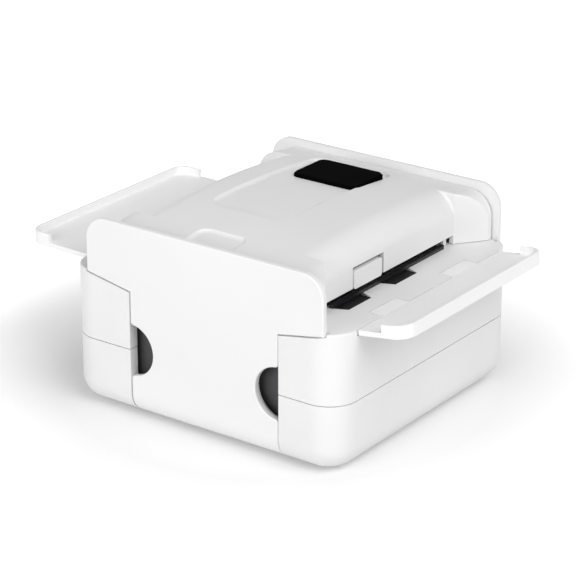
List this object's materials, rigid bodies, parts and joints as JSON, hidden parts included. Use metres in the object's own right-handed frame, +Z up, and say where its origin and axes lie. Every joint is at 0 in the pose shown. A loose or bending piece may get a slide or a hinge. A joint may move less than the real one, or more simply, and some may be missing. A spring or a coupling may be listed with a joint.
{
  "type": "thermal label printer",
  "caption": "White desktop thermal label printer with hinged cover, fold-down front and rear flaps, pull-off side panels and working platen gear train.",
  "frame": {"origin": "half way between the outer ends of the open flaps, on the middle plane of the case, at the table under the feet", "axes": "+X to the right seen from the front, +Y towards the rear where labels go in, +Z up; labels leave towards -Y"},
  "size_m": [0.168, 0.2478, 0.1115],
  "materials": {
    "white_plastic": "semi-gloss moulded",
    "panel_plastic": "semi-gloss moulded",
    "black_plastic": "satin",
    "grey_plastic": "fine grain",
    "gear_plastic": "moulded",
    "bush_plastic": "moulded",
    "platen_rubber": "ground matte",
    "foot_rubber": "matte",
    "steel": "ground",
    "spring_steel": "bright",
    "sheet_steel": "zinc plated",
    "motor_can": "black satin",
    "sink_aluminium": "extruded",
    "head_ceramic": "glazed",
    "circuit_board": "solder mask",
    "connector_shell": "plated",
    "screw_steel": "black zinc"
  },
  "bodies": {
    "base": {"lower_shell": "white_plastic", "upper_shell": "white_plastic", "chassis_frame": "grey_plastic", "platen_bushes": "bush_plastic", "idler_axle": "steel", "stepper_motor": "motor_can", "motor_bracket": "sheet_steel", "motor_screws": "screw_steel", "tear_bar": "steel", "outlet_inserts": "black_plastic", "gap_sensor": "black_plastic", "control_board": "circuit_board", "power_inlet": "black_plastic", "data_port": "connector_shell", "switch_housing": "black_plastic", "rubber_feet": "foot_rubber", "case_screws": "screw_steel", "chassis_screws": "screw_steel", "front_flap_pins": "steel", "rear_flap_pins": "steel"},
    "cover": {"top_cover": "white_plastic", "cover_hinge_pins": "steel", "button_board": "circuit_board", "latch_spring": "spring_steel", "head_carrier": "sheet_steel", "head_springs": "spring_steel"},
    "head": {"print_head": "head_ceramic", "heat_sink": "sink_aluminium"},
    "release_tab": {"release_tab": "white_plastic"},
    "feed_button": {"feed_button": "black_plastic"},
    "front_flap": {"front_flap": "white_plastic"},
    "rear_flap": {"rear_flap": "white_plastic"},
    "left_side_panel": {"left_side_panel": "panel_plastic"},
    "right_side_panel": {"right_side_panel": "panel_plastic"},
    "platen": {"platen_roller": "platen_rubber", "platen_shaft": "steel", "platen_gear": "gear_plastic"},
    "idler": {"idler_gear": "gear_plastic"},
    "motor_rotor": {"motor_shaft": "steel", "motor_pinion": "gear_plastic"},
    "left_guide": {"left_label_guide": "grey_plastic"},
    "right_guide": {"right_label_guide": "grey_plastic"},
    "guide_pinion": {"guide_pinion": "gear_plastic"},
    "power_rocker": {"power_rocker": "black_plastic"}
  },
  "joints": [
    {"name": "cover_hinge", "type": "hinge", "parent": "base", "child": "cover", "pos_m": [0, 0.05651, 0.083], "axis": [1, 0, 0], "range_deg": [-60, 0]},
    {"name": "head_float", "type": "slide", "parent": "cover", "child": "head", "axis": [0, 0, 1], "range_m": [0, 0.001], "stiffness_N_per_m": 2000, "springref_m": -0.002, "deforming": ["head_springs"]},
    {"name": "release_press", "type": "slide", "parent": "cover", "child": "release_tab", "axis": [0, 1, 0], "range_m": [0, 0.002], "stiffness_N_per_m": 500, "springref_m": -0.002},
    {"name": "feed_press", "type": "slide", "parent": "cover", "child": "feed_button", "axis": [0, 0, -1], "range_m": [0, 0.0012], "stiffness_N_per_m": 600, "springref_m": -0.002},
    {"name": "front_flap_hinge", "type": "hinge", "parent": "base", "child": "front_flap", "pos_m": [0, -0.09199, 0.0775], "axis": [-1, 0, 0], "range_deg": [0, 82]},
    {"name": "rear_flap_hinge", "type": "hinge", "parent": "base", "child": "rear_flap", "pos_m": [0, 0.07901, 0.0775], "axis": [1, 0, 0], "range_deg": [0, 89]},
    {"name": "left_panel_pull", "type": "slide", "parent": "base", "child": "left_side_panel", "axis": [-1, 0, 0], "range_m": [0, 0.012]},
    {"name": "right_panel_pull", "type": "slide", "parent": "base", "child": "right_side_panel", "axis": [1, 0, 0], "range_m": [0, 0.012]},
    {"name": "platen_spin", "type": "hinge", "parent": "base", "child": "platen", "pos_m": [0, -0.05449, 0.0706], "axis": [1, 0, 0], "continuous": true},
    {"name": "idler_spin", "type": "hinge", "parent": "base", "child": "idler", "pos_m": [0.063, -0.04249, 0.04982], "axis": [1, 0, 0], "continuous": true},
    {"name": "motor_spin", "type": "hinge", "parent": "base", "child": "motor_rotor", "pos_m": [0.063, -0.02236, 0.04], "axis": [1, 0, 0], "continuous": true},
    {"name": "left_guide_slide", "type": "slide", "parent": "base", "child": "left_guide", "axis": [1, 0, 0], "range_m": [0, 0.028]},
    {"name": "right_guide_slide", "type": "slide", "parent": "base", "child": "right_guide", "axis": [-1, 0, 0], "range_m": [0, 0.028]},
    {"name": "guide_pinion_spin", "type": "hinge", "parent": "base", "child": "guide_pinion", "pos_m": [0, 0.02551, 0.074], "axis": [0, 0, 1], "range_deg": [0, 160.43]},
    {"name": "power_switch", "type": "hinge", "parent": "base", "child": "power_rocker", "pos_m": [0.045, 0.07951, 0.024], "axis": [0, 0, -1], "range_deg": [0, 12]}
  ],
  "couplings": [
    {"joint": "idler_spin", "follows": "platen_spin", "ratio": -0.5},
    {"joint": "motor_spin", "follows": "platen_spin", "ratio": 1.25},
    {"joint": "right_guide_slide", "follows": "left_guide_slide", "ratio": 1},
    {"joint": "guide_pinion_spin", "follows": "left_guide_slide", "rad_per_m": 100}
  ]
}
